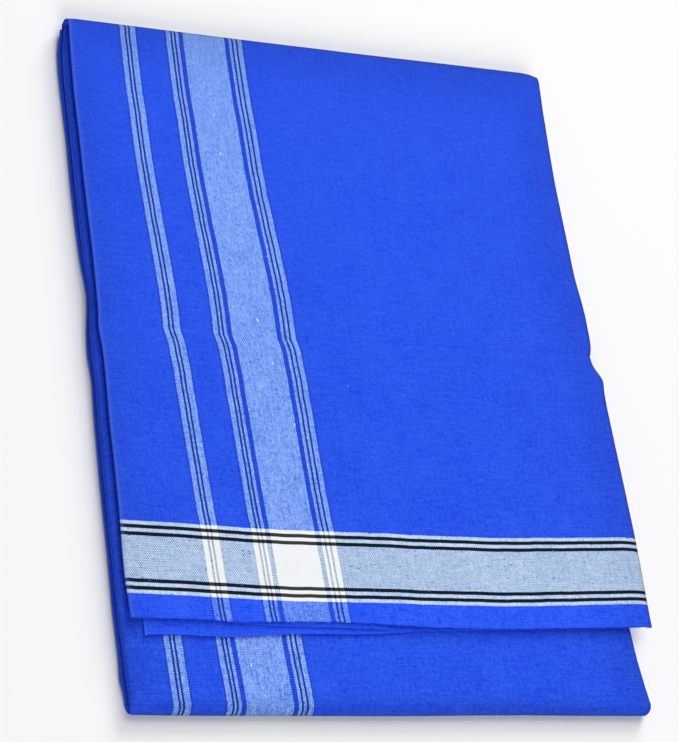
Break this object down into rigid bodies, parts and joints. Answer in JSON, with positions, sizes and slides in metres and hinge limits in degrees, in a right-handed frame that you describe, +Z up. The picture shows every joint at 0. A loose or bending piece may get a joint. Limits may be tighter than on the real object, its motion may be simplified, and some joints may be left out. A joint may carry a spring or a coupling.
{
  "type": "dhoti cloth",
  "caption": "Long striped cotton wrap cloth folded in layers into a flat rectangular pack, with a front flap that shows its woven cross band.",
  "frame": {"origin": "middle of the pack's box at the height of its underside", "axes": "+Y along the stripes from the bottom fold to the top fold, +X across the pack towards the flap's overhanging edge, +Z up from the surface that it lies on"},
  "size_m": [0.3106, 0.4008, 0.0144],
  "materials": {
    "striped_cotton": "plain woven cotton, matt",
    "inner_cotton": "plain woven cotton, matt"
  },
  "bodies": {
    "root": {"flap_face": "striped_cotton", "flap_middle_layer": "striped_cotton", "flap_second_layer": "striped_cotton", "base_face": "striped_cotton", "back_panel": "striped_cotton", "hidden_layers": "inner_cotton"}
  },
  "joints": []
}
